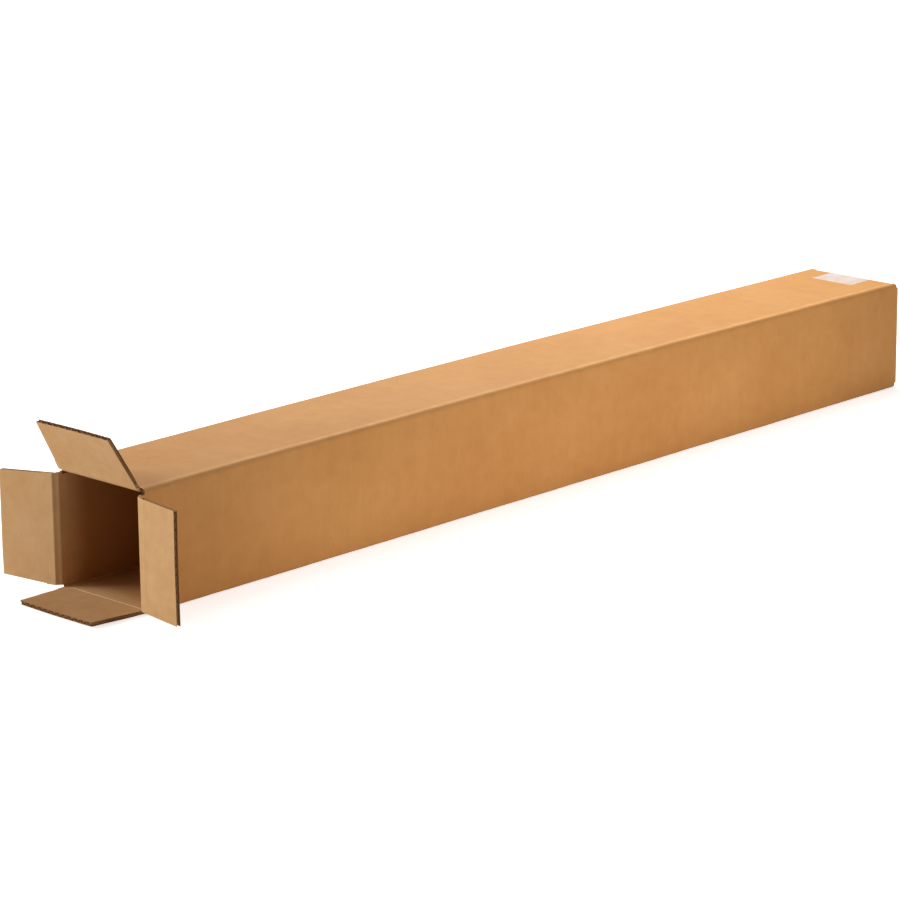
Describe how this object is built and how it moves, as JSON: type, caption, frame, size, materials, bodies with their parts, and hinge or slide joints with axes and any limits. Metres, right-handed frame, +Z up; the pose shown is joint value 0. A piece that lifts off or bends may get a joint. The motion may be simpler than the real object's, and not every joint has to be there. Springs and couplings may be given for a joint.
{
  "type": "tall corrugated carton",
  "caption": "Long square corrugated kraft carton lying on its side, with hinged flaps open at its mouth and its far end taped shut.",
  "frame": {"origin": "middle of the outer face of the bottom wall, on which the carton lies", "axes": "+X along the carton from its open mouth to its closed end, +Y towards the left wall as seen facing the mouth, +Z up"},
  "size_m": [1.0814, 0.2142, 0.1567],
  "materials": {
    "kraft_board": "matte kraft liner",
    "kraft_inside": "matte kraft liner, paler inside",
    "clear_tape": "glossy translucent film"
  },
  "bodies": {
    "carton": {"carton_body": "kraft_board", "sealing_tape": "clear_tape"},
    "top_flap": {"top_flap": "kraft_inside"},
    "bottom_flap": {"bottom_flap": "kraft_inside"},
    "left_flap": {"left_flap": "kraft_inside"},
    "right_flap": {"right_flap": "kraft_inside"}
  },
  "joints": [
    {"name": "top_flap_fold", "type": "hinge", "parent": "carton", "child": "top_flap", "pos_m": [-0.51175, 0, 0.10895], "axis": [0, 1, 0], "range_deg": [-152, 116]},
    {"name": "bottom_flap_fold", "type": "hinge", "parent": "carton", "child": "bottom_flap", "pos_m": [-0.51175, 0, -0.00015], "axis": [0, -1, 0], "range_deg": [-90, 178]},
    {"name": "left_flap_fold", "type": "hinge", "parent": "carton", "child": "left_flap", "pos_m": [-0.51565, 0.05455, 0.0544], "axis": [0, 0, -1], "range_deg": [-163, 105]},
    {"name": "right_flap_fold", "type": "hinge", "parent": "carton", "child": "right_flap", "pos_m": [-0.51565, -0.05455, 0.0544], "axis": [0, 0, 1], "range_deg": [-170, 98]}
  ]
}
